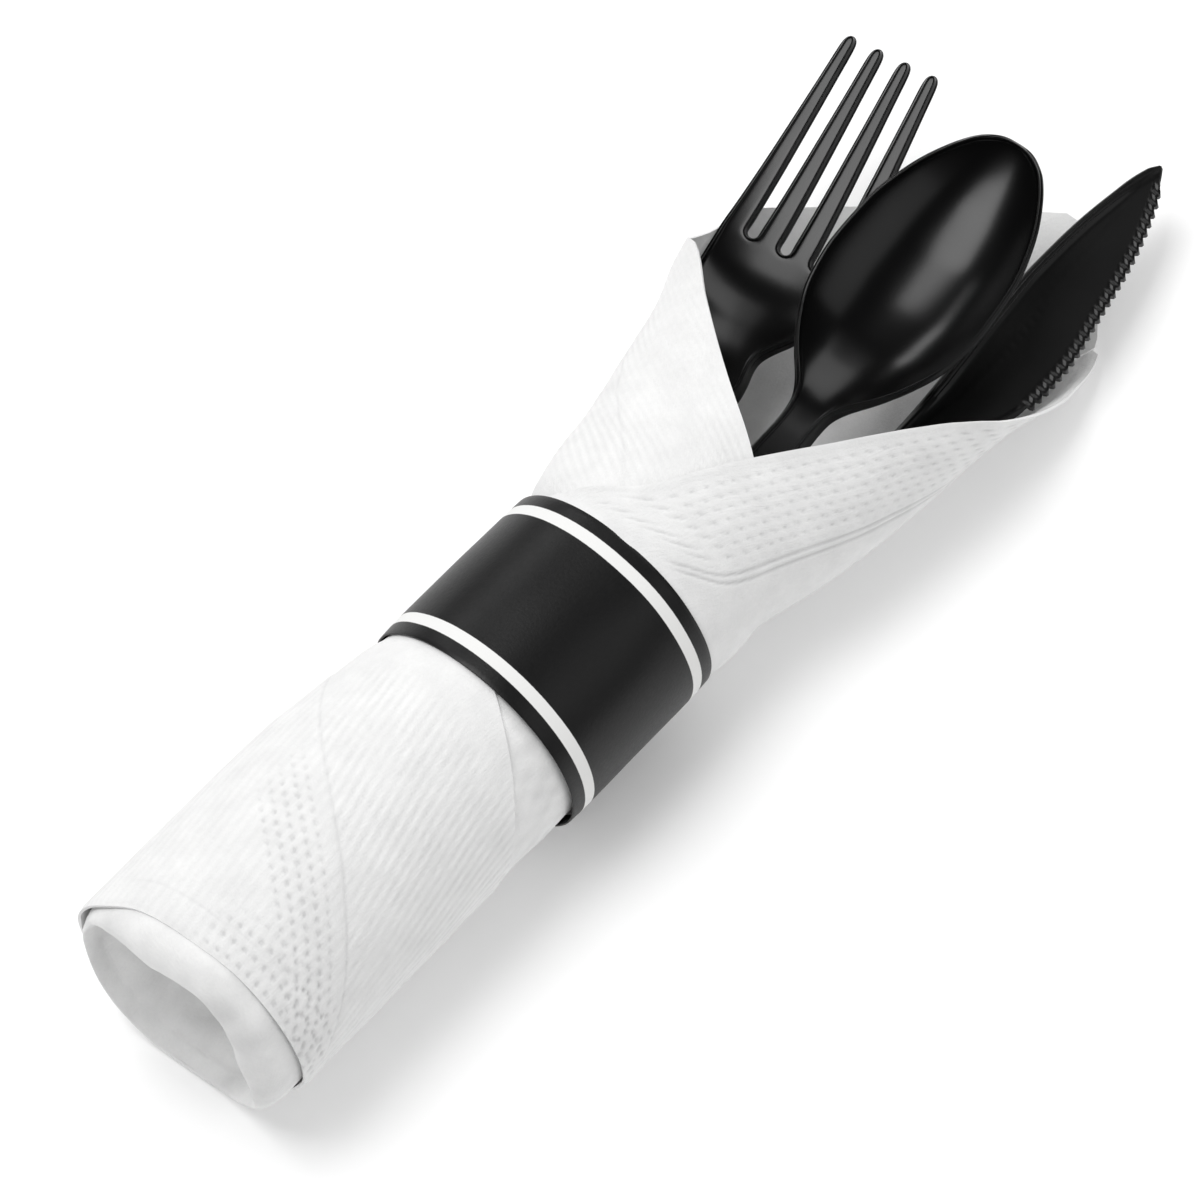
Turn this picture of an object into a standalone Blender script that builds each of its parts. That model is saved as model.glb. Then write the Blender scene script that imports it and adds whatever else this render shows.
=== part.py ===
"""Rolled cutlery set: a black plastic fork, spoon and knife in a white paper napkin, held by a paper band.

Units are metres and +Z is up. The roll lies along X on the plane z = 0, with the heads of the cutlery at
+X. Sizes are written in millimetres. They are given in the roll frame, whose origin is on the ground under
the middle of the band, and SET_PLACE moves the whole set so that it is centred on the row's origin.
"""

import math

import bmesh
import bpy
from mathutils import Euler, Vector

MM = 0.001

# Where the roll frame's origin lies in the row frame.
SET_PLACE = Vector((-34.9, -4.6, 0.0)) * MM

# The band: a paper ring round the middle of the roll, spread a little wider than it is high.
BAND_WIDTH = 38.1
BAND_RADIUS = 23.0
BAND_SPREAD = 1.056
BAND_THICKNESS = 0.5
BAND_LIFT = 0.2
BAND_SEGMENTS = 64

# The napkin: one soft sheet wound in a spiral, as thick as its four plies.
NAPKIN_THICKNESS = 1.2
TURN_PITCH = 1.6
NAPKIN_CELLS_SIDE = 20
# The soft roll's flat spot: how far round it reaches each way and how deep it is pressed in.
FLAT_SHARE = 0.06
FLAT_DEPTH = 0.6

# The wall of the mouldings and their overall lengths.
WALL = 1.8
SPOON_LENGTH = 171.0
FORK_LENGTH = 176.0
KNIFE_LENGTH = 192.0

# Handle's end in the roll frame, heading round Z and pitch of the head, in degrees.
SPOON_PLACE = ((-33.3, -9.2, 21.5), 3.0, 3.2)
FORK_PLACE = ((-33.5, 3.3, 17.5), 9.7, 1.6)
KNIFE_PLACE = ((-28.0, -9.6, 18.5), -4.3, -2.0)

# Spoon: x along it, half width, height of the rim and depth of the middle below the rim.
SPOON_STATIONS = (
    (0.0, 3.4, 0.0, 0.0),
    (2.5, 6.0, 0.0, 0.5),
    (8.0, 6.9, 0.0, 0.8),
    (40.0, 6.4, 0.0, 0.8),
    (75.0, 5.4, 0.0, 0.8),
    (96.0, 4.7, 0.2, 0.8),
    (103.0, 4.3, 0.6, 0.8),
    (107.5, 5.0, 1.2, 1.4),
    (112.0, 8.4, 1.9, 3.4),
    (118.0, 12.8, 2.8, 6.0),
    (126.0, 16.3, 4.0, 8.2),
    (135.0, 17.6, 5.3, 9.0),
    (145.0, 17.1, 6.6, 8.6),
    (154.5, 14.7, 7.8, 7.0),
    (162.5, 11.0, 8.8, 4.8),
    (168.5, 6.4, 9.5, 2.2),
    (SPOON_LENGTH, 2.4, 9.8, 0.0),
)
SPOON_CELLS = 6
DISH_POWER = 2.6

# Fork: the same values. The slots start at SLOT_ROW.
FORK_STATIONS = (
    (0.0, 3.4, 0.0, 0.0),
    (2.5, 6.0, 0.0, 0.5),
    (8.0, 6.9, 0.0, 0.8),
    (40.0, 6.4, 0.0, 0.8),
    (78.0, 5.4, 0.0, 0.8),
    (98.0, 4.6, 0.4, 0.8),
    (104.0, 4.4, 0.6, 0.8),
    (109.0, 6.0, 0.2, 1.1),
    (114.0, 10.0, -0.8, 1.7),
    (119.0, 12.4, -1.9, 1.9),
    (126.0, 13.6, -2.4, 1.5),
    (133.0, 13.7, -2.2, 0.9),
    (135.5, 13.4, -1.8, 0.8),
    (146.0, 12.6, 0.8, 0.5),
    (158.0, 11.7, 5.0, 0.2),
    (170.0, 10.8, 9.6, 0.0),
    (FORK_LENGTH, 10.2, 12.0, 0.0),
)
SLOT_ROW = 11
TINES = 4
CELLS_PER_TINE = 2
TINE_ROOT = 4.9
TINE_TIP = 2.2

# Knife: x along it, the spine's side (+Y), the edge's side (-Y) and the height.
KNIFE_STATIONS = (
    (0.0, 2.8, -2.8, 0.0),
    (2.5, 5.0, -5.0, 0.0),
    (8.0, 5.8, -5.8, 0.0),
    (45.0, 5.0, -5.0, 0.0),
    (85.0, 4.6, -4.6, 0.0),
    (108.0, 4.4, -4.4, 0.0),
    (118.0, 4.8, -5.6, 0.2),
    (126.0, 5.8, -8.6, 0.6),
    (132.0, 6.8, -10.4, 1.0),
    (145.0, 9.0, -9.4, 1.6),
    (158.0, 10.9, -6.0, 2.2),
    (172.0, 11.6, -1.9, 2.8),
    (184.0, 11.1, 3.1, 3.4),
    (190.0, 10.1, 6.4, 3.8),
    (KNIFE_LENGTH, 9.0, 7.8, 4.0),
)
# Share of the width from spine to edge, and the height there: a rib stands along the spine.
KNIFE_SECTION = ((0.0, 0.0), (0.10, 0.7), (0.26, 0.6), (0.34, -0.2), (0.70, -0.2), (0.94, -0.3), (1.0, -0.6))
TOOTH_PITCH = 2.1
TEETH = 26
TOOTH_START = 134.0
TOOTH_DEPTH = 0.8

# Napkin: x, the section's middle in Y, half width, height of its middle, and its lowest height.
NAPKIN_STATIONS = (
    (-94.5, 2.0, 24.3, 23.7, 0.0),
    (-46.0, 1.8, 24.1, 23.7, 0.0),
    (-33.0, 1.1, 23.6, 23.5, 0.0),
    (-20.8, 0.4, 23.4, 23.2, 0.3),
    (-19.4, -0.1, 22.0, 23.2, 2.4),
    (0.0, -0.1, 22.0, 23.2, 2.4),
    (19.4, -0.1, 22.0, 23.2, 2.4),
    (20.8, 0.3, 23.4, 23.0, 0.0),
    (25.0, 0.8, 24.4, 23.0, 0.0),
    (35.0, 1.5, 25.6, 23.0, 0.0),
    (48.0, 1.6, 28.4, 23.0, 0.0),
    (60.0, 1.9, 30.7, 23.0, 0.0),
    (70.0, 2.6, 32.4, 23.0, 0.0),
    (80.0, 4.0, 34.8, 23.0, 0.0),
    (88.0, 4.8, 36.1, 22.8, 0.0),
    (94.0, 5.0, 36.8, 22.0, 0.0),
    (104.0, 4.4, 37.4, 19.5, 0.0),
    (114.0, 2.6, 38.0, 16.5, 0.3),
    (126.0, -0.6, 38.0, 13.5, 0.9),
    (139.0, -4.0, 38.0, 11.5, 1.8),
    (150.5, -7.0, 38.0, 10.5, 2.8),
)

# How far round the sheet reaches from the underside, in half turns: right edge and left edge.
EDGE_STATIONS = (
    (-94.5, -1.80, 1.74),
    (-20.0, -1.74, 1.74),
    (0.0, -1.52, 1.74),
    (19.0, -1.28, 1.70),
    (29.0, -1.13, 1.50),
    (48.0, -0.875, 1.12),
    (60.0, -0.80, 0.95),
    (70.0, -0.735, 0.82),
    (80.0, -0.665, 0.70),
    (88.0, -0.605, 0.53),
    (94.0, -0.545, 0.45),
    (104.0, -0.46, 0.41),
    (114.0, -0.39, 0.33),
    (126.0, -0.29, 0.24),
    (139.0, -0.15, 0.13),
    (150.5, -0.02, 0.02),
)


def clear_scene():
    """Empty the scene so that the part stands alone."""
    for thing in list(bpy.data.objects):
        bpy.data.objects.remove(thing, do_unlink=True)


def make_material(name, color, roughness):
    """A plain material for one sub-part, none of which is metal."""
    material = bpy.data.materials.new(name)
    material.use_nodes = True
    shader = material.node_tree.nodes["Principled BSDF"]
    shader.inputs["Base Color"].default_value = (*color, 1.0)
    shader.inputs["Roughness"].default_value = roughness
    shader.inputs["Metallic"].default_value = 0.0
    material.diffuse_color = (*color, 1.0)
    return material


def new_object(name, bm, collection, parent, material):
    """Link a bmesh as a named object, shaded smooth with its sharp edges kept."""
    mesh = bpy.data.meshes.new(name)
    bm.to_mesh(mesh)
    bm.free()
    mesh.shade_smooth()
    mesh.set_sharp_from_angle(angle=math.radians(40))
    if material:
        mesh.materials.append(material)
    thing = bpy.data.objects.new(name, mesh)
    thing.parent = parent
    collection.objects.link(thing)
    return thing


def between(stations, x):
    """The values of a table of (x, value, ...) stations at x."""
    for low, high in zip(stations, stations[1:]):
        if x <= high[0]:
            t = max(x - low[0], 0.0) / (high[0] - low[0])
            return [a + (b - a) * t for a, b in zip(low[1:], high[1:])]
    return list(stations[-1][1:])


def cage(rows, cells, point, is_open=None):
    """A sheet of rows along the piece and cells across it, whose faces look up.

    point(row, column) places each vertex in millimetres, and is_open(row, cell) takes cells out.
    """
    bm = bmesh.new()
    bmesh.ops.create_grid(bm, x_segments=rows - 1, y_segments=cells, size=0.5)
    if is_open:
        holes = []
        for face in bm.faces:
            middle = face.calc_center_median()
            row = math.floor((middle.x + 0.5) * (rows - 1))
            cell = math.floor((middle.y + 0.5) * cells)
            if is_open(row, cell):
                holes.append(face)
        bmesh.ops.delete(bm, geom=holes, context="FACES")
    for vertex in bm.verts:
        row = round((vertex.co.x + 0.5) * (rows - 1))
        column = round((vertex.co.y + 0.5) * cells)
        vertex.co = Vector(point(row, column)) * MM
    return bm


def add_wall(thing, thickness, inwards=-1.0):
    """Thicken an open sheet on one side of it: -1 is the side its faces look away from."""
    wall = thing.modifiers.new("Wall", "SOLIDIFY")
    wall.thickness = thickness * MM
    wall.offset = inwards


def add_smoothing(thing):
    """Round a coarse cage."""
    smooth = thing.modifiers.new("Smooth", "SUBSURF")
    smooth.levels = 1
    smooth.render_levels = 1


def lay(thing, place):
    """Lay a moulding in the roll."""
    spot, heading, pitch = place
    thing.location = Vector(spot) * MM
    thing.rotation_euler = Euler((0.0, -math.radians(pitch), math.radians(heading)))


def dished(side, rim, depth):
    """Height across a moulding, where side runs from -1 to 1 and the rim is highest."""
    return rim - depth * (1.0 - abs(side) ** DISH_POWER)


def spoon_point(row, column):
    """A point of the spoon's upper side."""
    x, half, rim, depth = SPOON_STATIONS[row]
    side = column / SPOON_CELLS * 2.0 - 1.0
    return x, side * half, dished(side, rim, depth)


def make_spoon(collection, parent):
    """The spoon: a dished bowl and a channelled handle of one even wall."""
    bm = cage(len(SPOON_STATIONS), SPOON_CELLS, spoon_point)
    spoon = new_object("spoon", bm, collection, parent, make_material("spoon", (0.012, 0.012, 0.013), 0.32))
    add_wall(spoon, WALL)
    add_smoothing(spoon)
    lay(spoon, SPOON_PLACE)
    return spoon


def fork_cells():
    """Cells across the fork: some for each tine and one for each slot between two."""
    return TINES * CELLS_PER_TINE + TINES - 1


def fork_point(row, column):
    """A point of the fork's upper side. From the slots on, the columns follow the tines."""
    x, half, rim, depth = FORK_STATIONS[row]
    y = (column / fork_cells() * 2.0 - 1.0) * half
    if row >= SLOT_ROW - 1:
        start = FORK_STATIONS[SLOT_ROW][0]
        t = max(x - start, 0.0) / (FORK_LENGTH - start)
        tine = TINE_ROOT + (TINE_TIP - TINE_ROOT) * t
        index, cell = divmod(column, CELLS_PER_TINE + 1)
        pitch = (2.0 * half - tine) / (TINES - 1)
        y = (index - (TINES - 1) / 2.0) * pitch + (cell / CELLS_PER_TINE - 0.5) * tine
    return x, y, dished(y / half, rim, depth)


def in_slot(row, cell):
    """Whether a cell of the fork's cage lies between two tines."""
    return row >= SLOT_ROW and cell % (CELLS_PER_TINE + 1) == CELLS_PER_TINE


def make_fork(collection, parent):
    """The fork: a dished palm, four tapering tines and a channelled handle."""
    bm = cage(len(FORK_STATIONS), fork_cells(), fork_point, in_slot)
    fork = new_object("fork", bm, collection, parent, make_material("fork", (0.012, 0.012, 0.013), 0.32))
    add_wall(fork, WALL)
    add_smoothing(fork)
    lay(fork, FORK_PLACE)
    return fork


def knife_point(row, column):
    """A point of the knife's upper side, from its edge to its spine."""
    x, spine, edge, height = KNIFE_STATIONS[row]
    share, rise = KNIFE_SECTION[len(KNIFE_SECTION) - 1 - column]
    return x, spine + (edge - spine) * share, height + rise


def make_tooth_cutter(collection, parent):
    """Wedges that notch the blade's edge, one for each gap between two teeth."""
    bm = bmesh.new()
    for index in range(TEETH):
        x = TOOTH_START + index * TOOTH_PITCH
        edge = between(KNIFE_STATIONS, x)[1]
        ahead = between(KNIFE_STATIONS, x + 1.0)[1]
        made = bmesh.ops.create_cone(
            bm, cap_ends=True, segments=3, radius1=2.0 * TOOTH_DEPTH * MM, radius2=2.0 * TOOTH_DEPTH * MM, depth=8 * MM
        )
        slope = math.atan(ahead - edge)
        bmesh.ops.rotate(bm, verts=made["verts"], matrix=Euler((0, 0, slope)).to_matrix())
        spot = Vector((x, edge - TOOTH_DEPTH, between(KNIFE_STATIONS, x)[2])) * MM
        bmesh.ops.translate(bm, verts=made["verts"], vec=spot)
    cutter = new_object("tooth_cutter", bm, collection, parent, None)
    cutter.hide_render = True
    cutter.display_type = "WIRE"
    lay(cutter, KNIFE_PLACE)
    return cutter


def make_knife(collection, cutters, parent):
    """The knife: a flat blade with a rib along its spine, and a toothed edge."""
    bm = cage(len(KNIFE_STATIONS), len(KNIFE_SECTION) - 1, knife_point)
    knife = new_object("knife", bm, collection, parent, make_material("knife", (0.014, 0.014, 0.015), 0.36))
    add_wall(knife, WALL)
    add_smoothing(knife)
    teeth = knife.modifiers.new("Teeth", "BOOLEAN")
    teeth.operation = "DIFFERENCE"
    teeth.solver = "EXACT"
    teeth.object = make_tooth_cutter(cutters, parent)
    lay(knife, KNIFE_PLACE)
    return knife


def napkin_shares(x):
    """How far round each column of the napkin lies at x: the underside has one flat cell."""
    right, left = between(EDGE_STATIONS, x)
    flat = min(FLAT_SHARE, abs(right) / 2.0, left / 2.0)
    to_flat = [right + (-flat - right) * i / NAPKIN_CELLS_SIDE for i in range(NAPKIN_CELLS_SIDE + 1)]
    from_flat = [flat + (left - flat) * i / NAPKIN_CELLS_SIDE for i in range(NAPKIN_CELLS_SIDE + 1)]
    return to_flat + from_flat


def napkin_point(row, column):
    """A point of the napkin's outer side: share 0 is under the roll, 0.5 its left and 1 its top."""
    x = NAPKIN_STATIONS[row][0]
    share = napkin_shares(x)[column]
    middle, half, height, low = between(NAPKIN_STATIONS, x)
    grown = -TURN_PITCH * share / 2.0
    turn = math.pi * share
    y = middle + (half + grown) * math.sin(turn)
    z = height - (height - low + FLAT_DEPTH + grown) * math.cos(turn)
    return x, y, max(z, low)


def make_napkin(collection, parent):
    """The napkin: one sheet wound in a spiral, open at both ends, its corner flat behind the cutlery."""
    bm = cage(len(NAPKIN_STATIONS), 2 * NAPKIN_CELLS_SIDE + 1, napkin_point)
    napkin = new_object("napkin", bm, collection, parent, make_material("napkin", (0.86, 0.86, 0.85), 0.9))
    add_wall(napkin, NAPKIN_THICKNESS, inwards=1.0)
    return napkin


def make_band(collection, parent):
    """The band: a turned ring of paper round X."""
    outer, inner, half = BAND_RADIUS, BAND_RADIUS - BAND_THICKNESS, BAND_WIDTH / 2.0
    bm = bmesh.new()
    profile = ((outer, half), (outer, -half), (inner, -half), (inner, half))
    corners = [bm.verts.new(Vector((radius, 0.0, z)) * MM) for radius, z in profile]
    for first, second in zip(corners, corners[1:] + corners[:1]):
        bm.edges.new((first, second))
    band = new_object("napkin_band", bm, collection, parent, make_material("band", (0.015, 0.015, 0.016), 0.45))
    ring = band.modifiers.new("Ring", "SCREW")
    ring.axis = "Z"
    ring.angle = math.tau
    ring.steps = BAND_SEGMENTS
    ring.render_steps = BAND_SEGMENTS
    ring.use_merge_vertices = True
    ring.merge_threshold = 0.00001
    band.rotation_euler = Euler((0.0, math.pi / 2.0, 0.0))
    band.scale = Vector((1.0, BAND_SPREAD, 1.0))
    band.location = Vector((0.0, 0.0, BAND_RADIUS + BAND_LIFT)) * MM
    return band


def main():
    """Build the set under one empty that stands for the roll frame."""
    clear_scene()
    scene = bpy.context.scene.collection
    pieces = bpy.data.collections.new("plastic_cutlery_pack")
    cutters = bpy.data.collections.new("cutters")
    scene.children.link(pieces)
    scene.children.link(cutters)
    roll_frame = bpy.data.objects.new("roll_frame", None)
    roll_frame.location = SET_PLACE
    pieces.objects.link(roll_frame)
    make_spoon(pieces, roll_frame)
    make_fork(pieces, roll_frame)
    make_knife(pieces, cutters, roll_frame)
    make_napkin(pieces, roll_frame)
    make_band(pieces, roll_frame)


main()
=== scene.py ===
"""Rolled cutlery set dressed for the studio: black fork, spoon and knife in an embossed white napkin.

The classes hold their sizes in millimetres in the roll frame: its origin is on the ground under the middle
of the band, and +X runs along the roll towards the heads of the cutlery. Meshes are written in metres in the
row frame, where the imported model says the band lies.
"""

import logging
import math
from dataclasses import dataclass
from enum import Enum
from typing import Any, Sequence

import bpy
import numpy as np
from mathutils import Matrix, Vector


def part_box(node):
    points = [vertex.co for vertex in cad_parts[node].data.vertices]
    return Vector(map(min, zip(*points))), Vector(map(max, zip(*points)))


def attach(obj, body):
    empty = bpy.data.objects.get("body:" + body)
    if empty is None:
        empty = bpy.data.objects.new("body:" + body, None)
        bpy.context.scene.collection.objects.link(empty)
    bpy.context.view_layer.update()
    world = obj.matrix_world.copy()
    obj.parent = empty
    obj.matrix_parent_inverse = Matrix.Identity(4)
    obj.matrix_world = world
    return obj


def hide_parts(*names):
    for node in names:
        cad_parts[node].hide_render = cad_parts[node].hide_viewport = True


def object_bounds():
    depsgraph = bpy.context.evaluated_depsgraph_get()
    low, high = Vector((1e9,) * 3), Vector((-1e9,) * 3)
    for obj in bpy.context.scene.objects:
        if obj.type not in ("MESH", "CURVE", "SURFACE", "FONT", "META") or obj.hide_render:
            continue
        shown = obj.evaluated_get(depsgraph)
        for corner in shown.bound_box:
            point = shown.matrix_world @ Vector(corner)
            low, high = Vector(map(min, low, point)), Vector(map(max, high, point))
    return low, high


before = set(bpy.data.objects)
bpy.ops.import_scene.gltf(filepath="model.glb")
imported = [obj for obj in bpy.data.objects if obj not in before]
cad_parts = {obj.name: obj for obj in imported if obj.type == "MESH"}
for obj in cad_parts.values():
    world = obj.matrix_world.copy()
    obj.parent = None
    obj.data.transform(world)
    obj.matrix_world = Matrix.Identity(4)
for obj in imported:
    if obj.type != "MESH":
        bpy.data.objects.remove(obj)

LOG = logging.getLogger("cutlery_pack")
MM = 0.001
CAD_LOW, CAD_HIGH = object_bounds()
BAND_LOW, BAND_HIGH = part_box("napkin_band")
ROLL_ORIGIN = np.array([(BAND_LOW.x + BAND_HIGH.x) / 2.0, (BAND_LOW.y + BAND_HIGH.y) / 2.0, CAD_LOW.z])

Array = np.ndarray
Stations = Sequence[Sequence[float]]


class Slot(Enum):
    """The record's material slots."""

    FORK = "fork"
    SPOON = "spoon"
    KNIFE = "knife"
    NAPKIN = "napkin"
    BAND = "band"


# ---- numbers


def to_row(points: Array) -> Array:
    """Move points from the roll frame in millimetres to the row frame in metres.

    Args:
        points: An array whose last axis is x, y, z.

    Returns:
        The same points in the row frame.
    """
    return points * MM + ROLL_ORIGIN


def eased(stations: Stations, at: Array) -> list[Array]:
    """Read a table of (x, value, ...) stations with a smooth curve that never overshoots.

    Args:
        stations: The rows of the table, in rising x.
        at: Where to read it.

    Returns:
        One array for each value column.
    """
    table = np.array(stations, float)
    xs = table[:, 0]
    at = np.clip(np.asarray(at, float), xs[0], xs[-1])
    cell = np.clip(np.searchsorted(xs, at, side="right") - 1, 0, len(xs) - 2)
    gaps = np.diff(xs)
    t = (at - xs[cell]) / gaps[cell]
    columns = []
    for values in table[:, 1:].T:
        rates = np.diff(values) / gaps
        slopes = np.concatenate([rates[:1], np.zeros(len(xs) - 2), rates[-1:]])
        same = rates[:-1] * rates[1:] > 0.0
        safe = np.where(same, rates[:-1] + rates[1:], 1.0)
        slopes[1:-1] = np.where(same, 2.0 * rates[:-1] * rates[1:] / safe, 0.0)
        low, high = values[cell], values[cell + 1]
        gap = gaps[cell]
        columns.append(
            low * (1.0 + 2.0 * t) * (1.0 - t) ** 2
            + slopes[cell] * gap * t * (1.0 - t) ** 2
            + high * t * t * (3.0 - 2.0 * t)
            + slopes[cell + 1] * gap * t * t * (t - 1.0)
        )
    return columns


def step(low: float, high: float, value: Array) -> Array:
    """A smooth rise from 0 at low to 1 at high."""
    t = np.clip((value - low) / (high - low), 0.0, 1.0)
    return t * t * (3.0 - 2.0 * t)


def bell(distance: Array, radius: float) -> Array:
    """A soft bump, 1 in its middle and nearly 0 past its radius."""
    return np.exp(-2.2 * (distance / radius) ** 2)


def cloud(u: Array, v: Array, seed: int) -> Array:
    """Smooth noise from -1 to 1 on a lattice of unit cells.

    Args:
        u: First coordinate, in cells.
        v: Second coordinate, in cells.
        seed: Picks the pattern.

    Returns:
        The noise at each point.
    """
    lattice = np.random.default_rng(seed).uniform(-1.0, 1.0, (64, 64))
    iu = np.floor(u).astype(int)
    iv = np.floor(v).astype(int)
    fu = u - iu
    fv = v - iv
    fu = fu * fu * (3.0 - 2.0 * fu)
    fv = fv * fv * (3.0 - 2.0 * fv)
    near = lattice[iu % 64, iv % 64] * (1.0 - fv) + lattice[iu % 64, (iv + 1) % 64] * fv
    far = lattice[(iu + 1) % 64, iv % 64] * (1.0 - fv) + lattice[(iu + 1) % 64, (iv + 1) % 64] * fv
    return near * (1.0 - fu) + far * fu


def stretches(*parts: tuple[float, float, int]) -> Array:
    """Even steps in each stretch, given as its start, its end and how many points it has."""
    return np.concatenate([np.linspace(*part) for part in parts])


def turned(u: Array, v: Array, degrees: float) -> tuple[Array, Array]:
    """Coordinates along and across a direction.

    Args:
        u: First coordinate.
        v: Second coordinate.
        degrees: The direction's angle from the first axis.

    Returns:
        The distance along the direction and the distance across it.
    """
    c = math.cos(math.radians(degrees))
    s = math.sin(math.radians(degrees))
    return u * c + v * s, v * c - u * s


# ---- shaders


class Wire:
    """A shader socket that can be used in Python expressions."""

    def __init__(self, graph: "Graph", socket: bpy.types.NodeSocket) -> None:
        """Remember the socket and the graph that it belongs to."""
        self.graph = graph
        self.socket = socket

    def _math(self, operation: str, *values: Any) -> "Wire":
        """Add a Math node over these values."""
        made = self.graph.node("ShaderNodeMath", {"operation": operation}, dict(enumerate(values)))
        return Wire(self.graph, made.outputs[0])

    def __add__(self, other: Any) -> "Wire":
        """self + other."""
        return self._math("ADD", self, other)

    __radd__ = __add__

    def __sub__(self, other: Any) -> "Wire":
        """self - other."""
        return self._math("SUBTRACT", self, other)

    def __rsub__(self, other: Any) -> "Wire":
        """other - self."""
        return self._math("SUBTRACT", other, self)

    def __mul__(self, other: Any) -> "Wire":
        """self * other."""
        return self._math("MULTIPLY", self, other)

    __rmul__ = __mul__

    def absolute(self) -> "Wire":
        """The value without its sign."""
        return self._math("ABSOLUTE", self)

    def below(self, limit: float, soft: float) -> "Wire":
        """1 where the value is under a limit and 0 above it, with a soft edge."""
        return self._math("MULTIPLY_ADD", self, -1.0 / soft, limit / soft + 0.5).clamped()

    def clamped(self) -> "Wire":
        """The value held between 0 and 1."""
        made = self.graph.node("ShaderNodeClamp", {}, {"Value": self})
        return Wire(self.graph, made.outputs[0])


class Graph:
    """The node tree of one material."""

    def __init__(self, name: str) -> None:
        """Start a material that holds only its output."""
        self.material = bpy.data.materials.new(name)
        self.material.use_nodes = True
        self.tree = self.material.node_tree
        self.tree.nodes.clear()

    def node(self, kind: str, settings: dict[str, Any], sockets: dict[Any, Any]) -> bpy.types.Node:
        """Add a node.

        Args:
            kind: The node's type.
            settings: Properties, set first.
            sockets: Values or Wires for its inputs, by name or number.

        Returns:
            The new node.
        """
        made = self.tree.nodes.new(kind)
        for key, value in settings.items():
            setattr(made, key, value)
        for key, value in sockets.items():
            if isinstance(value, Wire):
                self.tree.links.new(value.socket, made.inputs[key])
            else:
                made.inputs[key].default_value = value
        return made

    def wire(self, kind: str, settings: dict[str, Any], sockets: dict[Any, Any], out: Any = 0) -> Wire:
        """Add a node and take one of its outputs."""
        return Wire(self, self.node(kind, settings, sockets).outputs[out])

    def noise(self, where: Wire, scale: float, detail: float, roughness: float = 0.5) -> Wire:
        """Noise around 0.5 with this many cells to a metre."""
        sockets = {"Vector": where, "Scale": scale, "Detail": detail, "Roughness": roughness}
        return self.wire("ShaderNodeTexNoise", {}, sockets, "Fac")

    def place(self, output: str = "Object") -> Wire:
        """The point's own coordinates."""
        return self.wire("ShaderNodeTexCoord", {}, {}, output)

    def mixed(self, share: Wire, first: Sequence[float], second: Sequence[float]) -> Wire:
        """A colour between two."""
        made = self.node("ShaderNodeMix", {"data_type": "RGBA"}, {"Factor": share})
        made.inputs[6].default_value = (*first, 1.0)
        made.inputs[7].default_value = (*second, 1.0)
        return Wire(self, made.outputs[2])

    def bump(self, height: Wire, distance: float, strength: float = 1.0) -> Wire:
        """A normal from a height of this many metres."""
        sockets = {"Height": height, "Distance": distance, "Strength": strength}
        return self.wire("ShaderNodeBump", {}, sockets)

    def finish(self, sockets: dict[str, Any]) -> bpy.types.Material:
        """Close the material with a Principled shader."""
        shader = self.wire("ShaderNodeBsdfPrincipled", {}, sockets)
        self.node("ShaderNodeOutputMaterial", {}, {"Surface": shader})
        return self.material


@dataclass(frozen=True)
class MouldedPlastic:
    """Injection-moulded polystyrene: a satin skin with a faint grain and slow flow marks."""

    colour: tuple[float, float, float] = (0.0024, 0.0024, 0.0025)
    specular: float = 0.36
    gloss: float = 0.24
    gloss_range: float = 0.10
    grain: float = 2600.0
    grain_height: float = 0.000006

    def material(self, name: str) -> bpy.types.Material:
        """Build the finish."""
        g = Graph(name)
        where = g.place()
        grain = g.noise(where, self.grain, 3.0, 0.6)
        flow = g.noise(where, 55.0, 2.0)
        lighter = tuple(1.35 * c for c in self.colour)
        return g.finish({
            "Base Color": g.mixed(flow, self.colour, lighter),
            "Roughness": self.gloss + (flow - 0.5) * self.gloss_range + (grain - 0.5) * 0.05,
            "Metallic": 0.0,
            "Specular IOR Level": self.specular,
            "Normal": g.bump(grain * 0.7 + flow * 2.0, self.grain_height),
        })


@dataclass(frozen=True)
class SoftTissue:
    """White napkin tissue: a matt fibre web with crepe lines and pin-head embossing; its colour also darkens
    in the embossing's pits and creases and lightens on its ridges, as painted shade and painted light.
    """

    colour: tuple[float, float, float] = (0.91, 0.91, 0.905)
    # The dark end of the tissue's colour, reached by random tone and by painted shade in the pits and
    # creases.
    shade: tuple[float, float, float] = (0.66, 0.66, 0.66)
    # How strongly the relief paints shade into pits and creases and light onto ridges.
    relief_shade: float = 2.2
    fibre: float = 1900.0
    crepe: float = 420.0
    height: float = 0.00015

    def material(self, name: str) -> bpy.types.Material:
        """Build the finish."""
        g = Graph(name)
        where = g.place()
        fibre = g.noise(where, self.fibre, 4.0, 0.65)
        pulp = g.noise(where, 160.0, 3.0, 0.6)
        sheet = g.wire("ShaderNodeMapping", {}, {"Vector": g.place("UV"), "Scale": (1.0, 4.5, 1.0)})
        crepe = g.noise(sheet, self.crepe, 2.0, 0.55)
        relief = g.wire("ShaderNodeAttribute", {"attribute_name": "relief"}, {}, "Fac")
        # Random tone from pulp and fibre, plus painted shade and painted light from the relief: pits and
        # creases darker, ridges lighter.
        tone_and_relief_shade = pulp * 0.7 + fibre * 0.3 + relief * self.relief_shade
        return g.finish({
            "Base Color": g.mixed(tone_and_relief_shade.clamped(), self.shade, self.colour),
            "Roughness": 0.93 + (fibre - 0.5) * 0.08,
            "Metallic": 0.0,
            "Specular IOR Level": 0.2,
            "Sheen Weight": 0.12,
            "Sheen Roughness": 0.6,
            "Subsurface Weight": 0.12,
            "Subsurface Radius": (0.0012, 0.0012, 0.0012),
            "Subsurface Scale": 1.0,
            "Normal": g.bump(fibre * 0.5 + crepe * 0.6 + pulp * 0.9, self.height),
        })


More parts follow.
